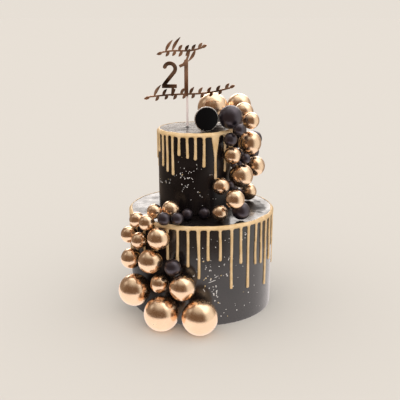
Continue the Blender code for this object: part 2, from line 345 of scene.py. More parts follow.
def icing_finish(name, settings, roughness, spread, shine):
    finish = Finish(name, settings.colour, roughness, IOR=1.5, Specular_IOR_Level=shine,
                    Coat_Roughness=0.13)
    finish.set("Base Color", finish.blend(finish.noise(26, 4), settings.colour, settings.bloom))
    finish.set("Roughness", finish.between(finish.noise(70, 3), roughness - spread, roughness + spread))
    finish.bump(finish.noise(55, 2, (1, 1, 2.5)), 0.25, 0.5 * MM)
    finish.bump(finish.noise(900, 2), 0.12, 0.12 * MM)
    return finish


# Where the tiers' tops stay dull: the middle of each place and how far it reaches
DULL_PLACES = (
    (Vector((79, -4, 0)) * MM + Vector((0, 0, LOWER.top)), Vector((12, 30, 40)) * MM),
    (Vector((34, -8, 0)) * MM + Vector((0, 0, UPPER.top)), Vector((30, 44, 40)) * MM),
)

# Painted shade: where the lower wall loses its coat and shows darker, in the hollows behind the left-hand
# cascade that the balls shade
PAINTED_SHADE_HOLLOWS = (Vector((-88, -62, 66)) * MM, Vector((55, 55, 90)) * MM)


def shine_tops(finish):
    """The tops shine in smears, and not at all in the dull places."""
    gloss = finish.between(finish.noise(42, 3), 0.25, 1.0)
    ragged = finish.between(finish.noise(90, 3), -0.3, 0.3)
    for middle, reach in DULL_PLACES:
        gloss = finish.math("MULTIPLY", gloss, finish.beyond(middle, reach, ragged))
    finish.set("Coat Weight", gloss)


def drip_finish(name, settings):
    finish = Finish(name, settings.colour, 0.4, Metallic=0.12)
    finish.set("Base Color", finish.blend(finish.noise(120, 4), settings.shade, settings.colour))
    finish.set("Roughness", finish.between(finish.noise(400, 3), 0.34, 0.46))
    finish.bump(finish.noise(1400, 2), 0.15, 0.1 * MM)
    return finish.material


def ball_finish(name, colour, roughness, metallic, grain):
    finish = Finish(name, colour, roughness, Metallic=metallic)
    deep = tuple(part * 0.93 for part in colour)
    finish.set("Base Color", finish.blend(finish.noise(60, 3), deep, colour))
    finish.set("Roughness", finish.between(finish.noise(300, 4), roughness * 0.85, roughness * 1.15))
    finish.bump(finish.noise(1800, 2), grain, 0.05 * MM)
    return finish.material


# Tiers

def wall_radius(tier, angle, z, unevenness):
    """Radius of the icing's wall, which wavers inwards from the solid's."""
    spot = Vector((math.cos(angle) * 2.2, math.sin(angle) * 2.2, z * 18)) * (tier.radius / LOWER.radius)
    return tier.radius - unevenness * (0.5 + 0.5 * noise.noise(spot))


def ice_tier(name, node, tier, finishes, settings):
    """A tier's icing: a wavering wall, a soft rim and a top with the marks of the palette knife."""
    edge = tier.radius - EDGE_BEVEL
    wall = [(tier.radius,
             tier.foot + FOOT_BEVEL + (tier.top - EDGE_BEVEL - tier.foot - FOOT_BEVEL) * i / 44)
            for i in range(45)]
    profile = [(0, tier.foot), (tier.radius - FOOT_BEVEL, tier.foot)]
    profile += arc_points(tier.radius - FOOT_BEVEL, tier.foot + FOOT_BEVEL, FOOT_BEVEL, -60, -30, 1)
    profile += wall + arc_points(edge, tier.top - EDGE_BEVEL, EDGE_BEVEL, 12, 90, 8)
    profile += [(edge * (1 - i / 26), tier.top) for i in range(1, 27)]
    knife = Vector((3.1, 7.7, 1.3))

    def place(angle, rho, z):
        x = rho * math.cos(angle)
        y = rho * math.sin(angle)
        if z > tier.top - 0.1 * MM and rho < edge:
            dip = noise.noise(Vector((x * 34, y * 34, 0)) + knife)
            dip += 0.4 * noise.noise(Vector((x, y, 0)) * 110)
            z -= settings.unevenness * 0.5 * (0.6 + 0.5 * dip) * min(1, (edge - rho) / (6 * MM))
        elif rho > edge:
            share = (rho - edge) / EDGE_BEVEL
            rho -= (tier.radius - wall_radius(tier, angle, z, settings.unevenness)) * share
            x = rho * math.cos(angle)
            y = rho * math.sin(angle)
        return (tier.axis_x + x, y, z)

    points, faces = lathe(profile, TIER_SEGMENTS, place)
    piece = new_piece(name, points, faces, finishes, "black_icing", [node])
    for face in piece.data.polygons:
        face.material_index = int(face.normal.z > 0.9)
    return piece


class CAKE_OT_ice_tiers(bpy.types.Operator):
    """Covers both tiers with smooth black icing"""
    bl_idname = "cake.ice_tiers"
    bl_label = "Ice the tiers"

    def execute(self, context):
        settings = context.scene.cake_icing
        wall = icing_finish("satin_icing", settings, 0.4, 0.04, 0.15)
        wall.shader.inputs["Coat Roughness"].default_value = 0.19
        wall.shader.inputs["Coat IOR"].default_value = 1.64
        # The coat is masked off in the hollows behind the left-hand cascade: a painted shade where the balls
        # shade the wall
        ragged = wall.between(wall.noise(60, 3), -0.1, 0.1)
        wall.set("Coat Weight", wall.beyond(*PAINTED_SHADE_HOLLOWS, ragged))
        # Lit and shaded copies of one icing: the lower wall's copy has a coat and shows brighter, a painted
        # sheen, and the upper wall's copy has none and shows darker, a painted shade
        upper_wall = icing_finish("satin_icing_upper", settings, 0.28, 0.04, 0.3)
        top = icing_finish("satin_icing_top", settings, 0.42, 0.15, 0.15)
        shine_tops(top)
        ice_tier("icing_lower", "lower_tier", LOWER, [wall.material, top.material], settings)
        ice_tier("icing_upper", "upper_tier", UPPER, [upper_wall.material, top.material], settings)
        return {"FINISHED"}


# Drips

def all_drips(front, step, seed, drops):
    """The front drips, and drips by a seeded rule round the rest of the tier."""
    chance = random.Random(seed)
    first = front[0].angle + 360
    last = front[-1].angle
    count = round((first - last) / step) - 1
    pitch = (first - last) / (count + 1)
    found = list(front)
    for i in range(count):
        angle = last + pitch * (i + 1) + chance.uniform(-0.12, 0.12) * pitch
        found.append(Drip(angle, chance.uniform(*drops), chance.choice((0, 0, 0.5))))
    return found


def run_together(a, b, reach):
    """The greater of two fields, blended where they are within reach of each other."""
    share = np.clip(0.5 + 0.5 * (a - b) / reach, 0, 1)
    return b + (a - b) * share + reach * share * (1 - share) * 0.5


def drip_field(tier, drips, seed, down, round_the_tier):
    """How deep in the drip a place is, in mm: down is measured from the rim, in mm."""
    chance = random.Random(seed)
    girth = 2 * math.pi * tier.radius / MM
    band = DRIP_BAND + 0.5 * np.sin(round_the_tier / girth * 2 * math.pi * 9) - down
    runs = np.full(np.broadcast(down, round_the_tier).shape, -50.0)
    for drip in drips:
        middle = math.radians(drip.angle) * tier.radius / MM
        sway = chance.uniform(0.1, 0.45) * np.sin(down / chance.uniform(9, 16) + chance.uniform(0, 6))
        across = (round_the_tier - middle - sway + girth / 2) % girth - girth / 2
        tip = DRIP_HALF_WIDTH * chance.uniform(0.98, 1.16)
        end = drip.drop - tip
        share = np.clip(down / end, 0, 1)
        width = DRIP_HALF_WIDTH * (1 - 0.1 * np.sin(share * math.pi)) + (tip - DRIP_HALF_WIDTH) * share ** 3
        width = width + drip.spread * np.clip(1 - down / (drip.drop * 0.55), 0, 1) ** 1.3
        past = np.maximum(down - end, 0)
        runs = np.maximum(runs, width - np.hypot(across, past))
    field = run_together(band, runs, DRIP_BLEND)
    lip = DRIP_LIP - 0.6 + 0.6 * np.sin(round_the_tier / girth * 2 * math.pi * 13 + seed)
    return np.minimum(field, down + EDGE_BEVEL / MM * math.pi / 2 + lip - EDGE_BEVEL / MM)


def pour_drip(name, node, tier, drips, seed, material, thickness):
    """A drip poured over the rim: a thick hem with a rounded edge, and runs that end in a bead."""
    over = EDGE_BEVEL * math.pi / 2            # length of the path round the rim
    deepest = max(drip.drop for drip in drips) + 3
    rows = np.arange(-(over / MM + DRIP_LIP) - 1, deepest, DRIP_STEP_DOWN)
    girth = 2 * math.pi * tier.radius / MM
    columns = round(girth / DRIP_STEP_ROUND)
    along = np.arange(columns + 1) * girth / columns
    field = drip_field(tier, drips, seed, rows[:, None], along[None, :])
    field[:, -1] = field[:, 0]
    corners, faces, rim = filled_cells(field)
    depth = np.maximum(sample(field, corners), 0)
    depth[list(rim)] = 0
    bulge = 1 - (1 - np.clip(depth / DRIP_BULGE, 0, 1)) ** 2
    height = thickness * np.sqrt(bulge)
    downs = np.interp(corners[:, 0], np.arange(len(rows)), rows) * MM
    angles = corners[:, 1] / columns * 2 * math.pi

    def place(down, angle, out):
        """A point that far down the path over the rim and down the wall, and that far out from it."""
        down += EDGE_BEVEL
        if down > EDGE_BEVEL:
            rho, z = tier.radius + out, tier.top - down
        elif down > EDGE_BEVEL - over:
            turn = (EDGE_BEVEL - down) / EDGE_BEVEL
            rho = tier.radius - EDGE_BEVEL + (EDGE_BEVEL + out) * math.cos(turn)
            z = tier.top - EDGE_BEVEL + (EDGE_BEVEL + out) * math.sin(turn)
        else:
            rho = tier.radius - EDGE_BEVEL - (EDGE_BEVEL - over - down)
            z = tier.top + out
        return (tier.axis_x + rho * math.cos(angle), rho * math.sin(angle), z)

    seam = {}
    points = []
    fronts = []
    backs = []
    for i, (down, angle, out) in enumerate(zip(downs, angles, height)):
        key = (round(corners[i, 0] * 1000), round((corners[i, 1] % columns) * 1000))
        if key not in seam:
            seam[key] = (len(points), len(points) if i in rim else len(points) + 1)
            points.append(place(down, angle, min(out, cap(down, thickness))))
            if i not in rim:
                points.append(place(down, angle, -DRIP_SINK))
        fronts.append(seam[key][0])
        backs.append(seam[key][1])
    sheet = [[fronts[i] for i in face] for face in faces]
    sheet += [[backs[i] for i in reversed(face)] for face in faces]
    return new_piece(name, points, sheet, [material], "gold_drip", [node])


def cap(down, thickness):
    """The drip is thinner on the tier's top than on its wall."""
    return thickness if down > 0 else min(thickness, DRIP_ON_TOP)


class CAKE_OT_pour_drips(bpy.types.Operator):
    """Pours a gold drip over the rim of each tier"""
    bl_idname = "cake.pour_drips"
    bl_label = "Pour the drips"

    def execute(self, context):
        settings = context.scene.cake_drip
        material = drip_finish("antique_gold", settings)
        lower = all_drips(LOWER_FRONT_DRIPS, LOWER_DRIP_STEP, 7, LOWER_DROPS)
        upper = all_drips(UPPER_FRONT_DRIPS, UPPER_DRIP_STEP, 4, UPPER_DROPS)
        pour_drip("drip_lower", "lower_drip", LOWER, lower, 3, material, settings.thickness)
        pour_drip("drip_upper", "upper_drip", UPPER, upper, 5, material, settings.thickness)
        return {"FINISHED"}


# Balls

def ball_place(node):
    """A ball's middle and radius, as its solid says."""
    low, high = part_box(node)
    return (low + high) / 2, (high.z - low.z) / 2


def ball_profile(radius, rings):
    """(radius, height) stations of a ball from its bottom to its top."""
    turns = [math.pi * i / rings for i in range(rings + 1)]
    return [(radius * math.sin(turn), -radius * math.cos(turn)) for turn in turns]


def make_ball(name, node, material, slot, waver):
    """A ball that fills its solid's box, wavering very slightly from round."""
    centre, radius = ball_place(node)
    own = centre * 400

    def place(angle, rho, z):
        spot = Vector((rho * math.cos(angle), rho * math.sin(angle), z))
        dent = 0.5 + 0.5 * noise.noise(spot / radius * 1.3 + own)
        return centre + spot * (1 - waver * dent)

    points, faces = lathe(ball_profile(radius, BALL_RINGS), BALL_SEGMENTS, place)
    return new_piece(name, points, faces, [material], slot, [node])


def nodes_named(start):
    return sorted(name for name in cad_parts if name.startswith(start))


class CAKE_OT_gold_balls(bpy.types.Operator):
    """Sets the polished rose-gold balls"""
    bl_idname = "cake.gold_balls"
    bl_label = "Set the gold balls"

    def execute(self, context):
        material = ball_finish("rose_gold", context.scene.cake_balls.gold, 0.24, 1.0, 0.04)
        for node in nodes_named("gold_ball"):
            make_ball(node.replace("gold_ball", "rose_ball"), node, material, "gold_ball", 0.006)
        return {"FINISHED"}


# Small sugar pearls, each wedged against two balls: diameter in mm, the two balls' solids, and the side of
# the line between them that it is on
Pearl = namedtuple("Pearl", "diameter first second side")
LEFT = Vector((-1, 0, 0))
RIGHT = Vector((1, 0, 0))
FRONT = Vector((0, -1, 0))
BELOW = Vector((0, 0, -1))
PEARLS = (
    Pearl(9, "gold_ball_22", "black_ball_15", LEFT), Pearl(7, "gold_ball_19", "gold_ball_21", RIGHT),
    Pearl(7, "gold_ball_19", "gold_ball_21", LEFT), Pearl(11, "gold_ball_18", "gold_ball_19", BELOW),
    Pearl(9, "gold_ball_17", "black_ball_13", FRONT),
)
PEARL_GAP = 0.2 * MM              # left between a pearl and the balls that it touches


def pearl_seat(pearl):
    """The place where the pearl just clears both of its balls, on its side of them."""
    radius = pearl.diameter * MM / 2
    first, first_radius = ball_place(pearl.first)
    second, second_radius = ball_place(pearl.second)
    line = second - first
    near = first_radius + radius + PEARL_GAP
    far = second_radius + radius + PEARL_GAP
    along = (near ** 2 - far ** 2 + line.length_squared) / (2 * line.length)
    out = pearl.side - line * (pearl.side.dot(line) / line.length_squared)
    return first + line.normalized() * along + out.normalized() * math.sqrt(near ** 2 - along ** 2)


def wedge_pearls(material):
    """The pearls as one piece."""
    points = []
    faces = []
    for pearl in PEARLS:
        centre = pearl_seat(pearl)
        profile = ball_profile(pearl.diameter * MM / 2, PEARL_RINGS)
        ball, sides = lathe(profile, PEARL_SEGMENTS, lambda angle, rho, up: centre + Vector(
            (rho * math.cos(angle), rho * math.sin(angle), up)))
        faces += [[corner + len(points) for corner in side] for side in sides]
        points += ball
    return new_piece("black_pearls", points, faces, [material], "black_ball")


class CAKE_OT_black_balls(bpy.types.Operator):
    """Sets the matt black balls"""
    bl_idname = "cake.black_balls"
    bl_label = "Set the black balls"

    def execute(self, context):
        material = ball_finish("matt_black", context.scene.cake_balls.black, 0.34, 0.0, 0.25)
        shader = material.node_tree.nodes["Principled BSDF"]
        shader.inputs["Specular IOR Level"].default_value = 1.0
        shader.inputs["Specular Tint"].default_value = (1.0, 0.88, 1.0, 1)
        for node in nodes_named("black_ball"):
            make_ball(node.replace("black_ball", "matt_ball"), node, material, "black_ball", 0.01)
        wedge_pearls(material)
        return {"FINISHED"}


# Specks

# Each cluster: the tier, its middle in degrees round and mm up, its half width in degrees and half height
# in mm, how many specks, and their mean size in mm
Cluster = namedtuple("Cluster", "tier angle height wide tall count size")
SPECK_CLUSTERS = (
    Cluster(LOWER, -93, 103, 4, 12, 6, 0.7), Cluster(LOWER, -87, 84, 5, 9, 8, 0.8),
    Cluster(LOWER, -94, 72, 3, 6, 4, 0.7), Cluster(LOWER, -85, 70, 4, 5, 5, 0.8),
    Cluster(LOWER, -83, 52, 5, 8, 8, 0.8), Cluster(LOWER, -78, 40, 5, 9, 9, 0.9),
    Cluster(LOWER, -75, 69, 6, 4, 6, 0.9), Cluster(LOWER, -71, 86, 6, 10, 8, 0.8),
    Cluster(LOWER, -74, 115, 9, 9, 6, 0.6), Cluster(LOWER, -75, 17, 6, 8, 5, 0.7),
    Cluster(LOWER, -58, 120, 5, 5, 5, 0.7), Cluster(LOWER, -62, 70, 8, 22, 6, 0.7),
    Cluster(LOWER, -57, 28, 8, 16, 5, 0.7), Cluster(LOWER, -41, 50, 8, 40, 5, 0.6),
    Cluster(LOWER, -15, 70, 16, 40, 8, 0.6),
    Cluster(UPPER, -156, 176, 5, 5, 5, 0.6), Cluster(UPPER, -138, 181, 8, 6, 6, 0.7),
    Cluster(UPPER, -117, 191, 9, 6, 7, 0.7), Cluster(UPPER, -104, 194, 7, 6, 8, 0.8),
    Cluster(UPPER, -104, 176, 8, 5, 6, 0.8), Cluster(UPPER, -112, 214, 8, 12, 4, 0.6),
    Cluster(UPPER, -84, 170, 12, 20, 7, 0.7), Cluster(UPPER, -84, 204, 12, 12, 5, 0.6),
    Cluster(UPPER, -60, 180, 10, 24, 4, 0.6),
    Cluster(LOWER, 60, 80, 60, 30, 60, 0.7), Cluster(LOWER, 150, 70, 40, 30, 50, 0.7),
    Cluster(UPPER, 60, 190, 60, 26, 30, 0.7), Cluster(UPPER, 150, 190, 40, 26, 24, 0.7),
)


# Thin flicks of foil: the tier, the place in degrees round and mm up, half length and slope in degrees
Flick = namedtuple("Flick", "tier angle height reach slope")
FLICKS = (
    Flick(LOWER, -82, 63, 6, 20), Flick(LOWER, -88, 51, 3, -62), Flick(LOWER, -79, 69, 2.5, 30),
    Flick(UPPER, -94, 189, 1.8, -50), Flick(UPPER, -157, 177, 2, 80),
)


SPECK_SIDES = 7
SPECKS_PER_COUNT = 1.35           # specks made for each one that a cluster asks for
GOLD_SHARE = 0.12                 # share of the specks that are gold
FLICK_HALF_WIDTH = 0.45           # mm


def speck(points, faces, tier, angle, z, size, stretch, turn, unevenness):
    """Adds one flattened fleck of foil on a tier's wall."""
    rho = wall_radius(tier, angle, z, unevenness)
    out = Vector((math.cos(angle), math.sin(angle), 0))
    side = Vector((-math.sin(angle), math.cos(angle), 0))
    centre = Vector((tier.axis_x, 0, z)) + out * rho
    first = len(points)
    for radius, height in ((1.0, -0.12), (0.9, 0.1), (0.45, 0.2)):
        for k in range(SPECK_SIDES):
            around = 2 * math.pi * k / SPECK_SIDES
            u = size * radius * stretch * math.cos(around)
            v = size * radius * math.sin(around) * (1 + 0.25 * math.sin(3 * around + turn))
            a = u * math.cos(turn) - v * math.sin(turn)
            b = u * math.sin(turn) + v * math.cos(turn)
            points.append(centre + (side * a + Vector((0, 0, b)) + out * height) * MM)
    points.append(centre + out * 0.22 * MM)
    points.append(centre - out * 0.14 * MM)
    inner = first + 2 * SPECK_SIDES
    front = first + 3 * SPECK_SIDES
    for k in range(SPECK_SIDES):
        m = (k + 1) % SPECK_SIDES
        faces.append((front + 1, first + m, first + k))
        for ring in (first, first + SPECK_SIDES):
            after = ring + SPECK_SIDES
            faces.append((ring + k, ring + m, after + m, after + k))
        faces.append((inner + k, inner + m, front))


class CAKE_OT_scatter_specks(bpy.types.Operator):
    """Scatters flecks of silver and gold foil on the walls"""
    bl_idname = "cake.scatter_specks"
    bl_label = "Scatter the specks"

    def execute(self, context):
        chance = random.Random(21)
        unevenness = context.scene.cake_icing.unevenness
        kinds = {"silver": ([], []), "gold": ([], [])}
        for cluster in SPECK_CLUSTERS:
            for _ in range(round(cluster.count * SPECKS_PER_COUNT)):
                kind = kinds["gold" if chance.random() < GOLD_SHARE else "silver"]
                angle = math.radians(cluster.angle + chance.uniform(-1, 1) * cluster.wide)
                height = cluster.height + chance.uniform(-1, 1) * cluster.tall
                low = cluster.tier.foot / MM + 3
                high = cluster.tier.top / MM - 6
                height = min(max(height, low), high)
                size = cluster.size * chance.uniform(0.5, 1.15)
                speck(*kind, cluster.tier, angle, height * MM, size, chance.choice((1, 1, 1.2, 1.6)),
                      chance.uniform(0, 3), unevenness)
        for flick in FLICKS:
            speck(*kinds["silver"], flick.tier, math.radians(flick.angle), flick.height * MM,
                  FLICK_HALF_WIDTH, flick.reach / FLICK_HALF_WIDTH, math.radians(flick.slope), unevenness)
        silver = Finish("silver_foil", (0.82, 0.80, 0.79), 0.35, Metallic=0.3)
        silver.set("Base Color", silver.blend(silver.noise(700), (0.66, 0.64, 0.63), (0.95, 0.93, 0.91)))
        gold = Finish("gold_foil", (0.8, 0.6, 0.32), 0.35, Metallic=0.5)
        gold.set("Base Color", gold.blend(gold.noise(700), (0.55, 0.38, 0.16), (0.9, 0.72, 0.42)))
        new_piece("silver_specks", *kinds["silver"], [silver.material], "plaque_silver")
        new_piece("gold_specks", *kinds["gold"], [gold.material], "gold_drip")
        return {"FINISHED"}


# Topper, in mm from the stick and the cake's top

STEM_HALF_WIDTH = 1.15
LEAF_HALF_WIDTH = 2.1
LEAF_SLANT = 58                   # degrees from the horizontal
LEAF_TIP = 0.3
STEM_RISE = 1.7                   # over 1, so that a stem rises more towards its end
FIRST_LEAF = (200, 8)             # slant in degrees and length in mm of the leaf at a sprig's start
LAST_LEAF = (25, 7)
TOPPER_GRID = 0.32                # mm
TOPPER_BEVEL = 0.35               # mm
PLAQUE_TURN = math.radians(14)    # it faces a little to the right


def stem_point(start, end, swing, share):
    rise = (end[1] - start[1]) * share ** STEM_RISE + swing * math.sin(2 * math.pi * share)
    return (start[0] + (end[0] - start[0]) * share, start[1] + rise)


def leaf(root, degrees, length):
    """A leaf's line and its half widths: a narrow root, a full middle and a fine tip, a little bent."""
    angle = math.radians(degrees)
    line = []
    widths = []
    for i in range(13):
        share = i / 12
        bend = 0.06 * length * math.sin(math.pi * share)
        line.append((root[0] + length * share * math.cos(angle) - bend * math.sin(angle),
                     root[1] + length * share * math.sin(angle) + bend * math.cos(angle)))
        widths.append(LEAF_TIP + (LEAF_HALF_WIDTH - LEAF_TIP) * math.sin(math.pi * share ** 0.85))
    return line, widths


def plain(line, half_width):
    return line, [half_width] * len(line)


def sprig(start, end, steps, swing, above, below):
    """A stem with leaves above it at odd stations, leaves below it at even ones, and one at each end."""
    line = [stem_point(start, end, swing, i / (3 * steps)) for i in range(3 * steps + 1)]
    station = [stem_point(start, end, swing, i / steps) for i in range(steps + 1)]
    strokes = [plain(line, STEM_HALF_WIDTH)]
    for i, length in enumerate(above):
        strokes.append(leaf(station[2 * i + 1], LEAF_SLANT, length))
    for i, length in enumerate(below):
        strokes.append(leaf(station[2 * i + 2], LEAF_SLANT - 180, length))
    strokes.append(leaf(line[0], *FIRST_LEAF))
    strokes.append(leaf(line[-1], *LAST_LEAF))
    return strokes


def topper_strokes():
    """(line, half widths) of each stroke: plain numerals between two leafy sprigs."""
    strokes = [
        plain(arc_points(-23.1, 79.3, 7.2, 165, -38, 40) + [(-30.3, 59.2), (-32, 56.2)], 2.6),
        plain([(-34, 56.2), (-14, 56.2)], 2.6),
        plain([(-1.2, 43), (-1.2, 91)], 2.7),
        plain([(-10.2, 82.5), (-4.5, 85), (-0.2, 91)], 2.0),
        plain([(-1.6, 88), (1.8, 97), (3.5, 105)], 1.5),
        plain([(-19, 57), (-20.3, 43)], 1.8),
    ]
    strokes += sprig((-33, 101), (20, 107), 12, 1.2, (18, 21, 9, 9, 9, 9), (8, 8, 9, 8, 18))
    strokes += sprig((-51, 42), (58, 54), 18, 1.5, (18, 10, 9, 10, 11, 10, 9, 9, 9),
                     (8, 7, 8, 7, 7, 7, 7, 7))
    return strokes


def stroke_field(x, z, strokes):
    """How deep inside the strokes each place is, in mm. Strokes have square ends, except at a bend."""
    field = np.full(x.shape, -9.0)
    for line, widths in strokes:
        count = len(line) - 1
        for i in range(count):
            ax, az = line[i]
            bx, bz = line[i + 1]
            reach = np.hypot(bx - ax, bz - az)
            along = ((x - ax) * (bx - ax) + (z - az) * (bz - az)) / reach
            across = np.abs((x - ax) * (bz - az) - (z - az) * (bx - ax)) / reach
            share = np.clip(along / reach, 0, 1)
            width = widths[i] + (widths[i + 1] - widths[i]) * share
            past = np.maximum(-along, along - reach)
            inner = width - np.hypot(across, np.maximum(past, 0))
            if i == 0:
                inner = np.where(along < 0, np.minimum(width - across, along), inner)
            if i == count - 1:
                inner = np.where(along > reach, np.minimum(width - across, reach - along), inner)
            field = np.maximum(field, inner)
    return field


def cut_topper(material):
    """The topper's plate, cut from mirrored sheet with softly bevelled edges."""
    low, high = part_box("topper_plate")
    stick_low, stick_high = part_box("topper_stick")
    foot = Vector(((stick_low.x + stick_high.x) / 2, 0, UPPER.top))
    xs = np.arange((low.x - foot.x) / MM - 1, (high.x - foot.x) / MM + 1, TOPPER_GRID)
    zs = np.arange((low.z - foot.z) / MM - 1, (high.z - foot.z) / MM + 1, TOPPER_GRID)
    field = stroke_field(xs[None, :], zs[:, None] + 0 * xs[None, :], topper_strokes())
    corners, faces, rim = filled_cells(field)
    depth = np.maximum(sample(field, corners), 0)
    depth[list(rim)] = 0
    half = (high.y - low.y) / 2
    inset = TOPPER_BEVEL * MM * (1 - np.clip(depth / TOPPER_BEVEL, 0, 1)) ** 2
    x = foot.x + np.interp(corners[:, 1], np.arange(len(xs)), xs) * MM
    z = foot.z + np.interp(corners[:, 0], np.arange(len(zs)), zs) * MM
    middle = (high.y + low.y) / 2
    count = len(corners)
    points = [(x[i], middle - half + inset[i], z[i]) for i in range(count)]
    points += [(x[i], middle + half - inset[i], z[i]) for i in range(count)]
    sheet = [list(face) for face in faces]
    sheet += [[i + count for i in reversed(face)] for face in faces]
    edges = {}
    for face in faces:
        for a, b in zip(face, face[1:] + face[:1]):
            edges[(a, b)] = (b, a) not in edges
            if (b, a) in edges:
                edges[(b, a)] = False
    sheet += [(b, a, a + count, b + count) for (a, b), outline in edges.items() if outline]
    piece = new_piece("topper", points, sheet, [material], "topper_mirror", ["topper_plate"])
    piece.data.set_sharp_from_angle(angle=math.radians(40))
    return piece


class CAKE_OT_cut_topper(bpy.types.Operator):
    """Cuts the mirrored topper and sets it on its clear stick"""
    bl_idname = "cake.cut_topper"
    bl_label = "Cut the topper"

    def execute(self, context):
        settings = context.scene.cake_topper
        mirror = Finish("rose_mirror_painted_dark_reflections", settings.mirror, 0.06, Metallic=1.0)
        mirror.bump(mirror.noise(38, 1), 1.0, 3 * MM)
        mirror.set("Metallic", mirror.between(mirror.noise(44, 1), 1.0, 0.65))
        # Painted reflection: the mirror's colour falls to near black in random patches, standing in for the
        # dark surroundings that parts of the mirror show
        deep = tuple(part * 0.08 for part in settings.mirror)
        mirror.set("Base Color", mirror.blend(mirror.noise(33), deep, settings.mirror))
        cut_topper(mirror.material)

        clear = Finish("clear_rod", settings.stick, 0.12, Transmission_Weight=0.3, IOR=1.49)
        clear.bump(clear.noise(300, 2, (1, 1, 0.2)), 0.2, 0.1 * MM)
        low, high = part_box("topper_stick")
        centre = (low + high) / 2
        radius = (high.x - low.x) / 2
        profile = [(0, low.z)] + arc_points(radius - 0.2 * MM, low.z + 0.2 * MM, 0.2 * MM, -90, 0, 3)
        profile += [(radius, low.z + (high.z - low.z) * i / 12) for i in range(1, 12)]
        profile += arc_points(radius - 0.4 * MM, high.z - 0.4 * MM, 0.4 * MM, 0, 90, 5) + [(0, high.z)]
        points, faces = lathe(profile, 28, lambda angle, rho, z: (
            centre.x + rho * math.cos(angle), centre.y + rho * math.sin(angle), z))
        new_piece("stick", points, faces, [clear.material], "clear_stick", ["topper_stick"])

        def dab(angle, rho, z):
            swell = 1 + 0.35 * math.sin(angle * 2 + 1) + 0.2 * math.sin(angle * 3)
            return (centre.x + rho * swell * math.cos(angle), centre.y + rho * swell * math.sin(angle), z)

        top = UPPER.top
        profile = [(0, top - 0.5 * MM), (5.4 * MM, top - 0.5 * MM), (4.6 * MM, top + 0.2 * MM),
                   (3.2 * MM, top + 0.6 * MM), (2.0 * MM, top + 1.0 * MM), (1.5 * MM, top + 1.3 * MM),
                   (0, top + 1.4 * MM)]
        points, faces = lathe(profile, 36, dab)
        new_piece("icing_dab", points, faces, [bpy.data.materials["satin_icing"]], "black_icing")
        return {"FINISHED"}


class CAKE_OT_set_plaque(bpy.types.Operator):
    """Sets the bare round plaque with its silver back"""
    bl_idname = "cake.set_plaque"
    bl_label = "Set the plaque"

    def execute(self, context):
        black = Finish("gloss_black", context.scene.cake_topper.plaque, 0.12, Specular_IOR_Level=0.12)
        black.set("Roughness", black.between(black.noise(500, 3), 0.09, 0.16))
        silver = Finish("polished_silver", (0.90, 0.89, 0.88), 0.14, Metallic=0.85)
        silver.set("Roughness", silver.between(silver.noise(500, 3), 0.1, 0.2))
        for name, node, slot, material, thickness in (
                ("plaque_front", "plaque_face", "plaque_black", black.material, 1 * MM),
                ("plaque_rear", "plaque_back", "plaque_silver", silver.material, 2 * MM)):
            low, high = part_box(node)
            centre = (low + high) / 2
            radius = (high.z - low.z) / 2
            half = thickness / 2
            soft = 0.3 * MM
            profile = [(0, -half)] + arc_points(radius - soft, soft - half, soft, -90, 0, 4)
            profile += arc_points(radius - soft, half - soft, soft, 0, 90, 4) + [(0, half)]

            def place(angle, rho, across):
                flat = Vector((rho * math.sin(angle), across, rho * math.cos(angle)))
                return centre + Matrix.Rotation(PLAQUE_TURN, 3, "Z") @ flat

            points, faces = lathe(profile, 96, place)
            piece = new_piece(name, points, faces, [material], slot, [node])
            piece.data.set_sharp_from_angle(angle=math.radians(50))
        return {"FINISHED"}


# Stage

# What the polished pieces mirror: (degrees to the right of the front, degrees up, edge in degrees, light)
Window = namedtuple("Window", "left right low high edge light")
WINDOWS = (
    Window(-400, 400, 54, 200, 44, (0.86, 0.82, 0.74)),  # the room's pale upper part
    Window(-400, -78, -200, 52, 50, (0.27, 0.205, 0.155)),  # its left side
    Window(-108, -84, 28, 46, 12, (0.85, 0.80, 0.74)),  # a small lamp on the left
    Window(42, 400, -200, 200, 34, (0.95, 0.91, 0.84)),  # a pale wall on the right
    Window(44, 400, 42, 200, 24, (2.1, 2.0, 1.9)),  # a soft box high on the right
    Window(110, 400, -200, 22, 26, (0.42, 0.34, 0.28)),  # the dim end of that wall
    Window(-400, -118, 56, 200, 24, (1.9, 1.8, 1.7)),  # a soft box high behind, on the left
    Window(152, 400, 0, 14, 8, (0.90, 0.78, 0.69)),  # low light behind the cake
    Window(-400, -152, 0, 14, 8, (0.90, 0.78, 0.69)),
    Window(152, 400, 13, 34, 5, (4.0, 3.75, 3.55)),  # and a bright band above it
    Window(-400, -152, 13, 34, 5, (4.0, 3.75, 3.55)),
)
ROOM = (0.170, 0.105, 0.065)
FILL = (1.22, 1.17, 1.12)         # the light on what isn't polished
FLOOR_REACH = 0.34                # m of floor that shows in the polished pieces
FLOOR_EDGE = 40                   # m
FLOOR_SEGMENTS = 96
FLOOR_GLOW = (1.27, 1.17, 1.14)   # the floor's light in the polished pieces, and its share
GLOW_SHARE = 0.85
LENS = 59.82                      # mm
CAMERA_PLACE = (-0.0019, -0.905, 0.402)
CAMERA_TILT = 15.81               # degrees down


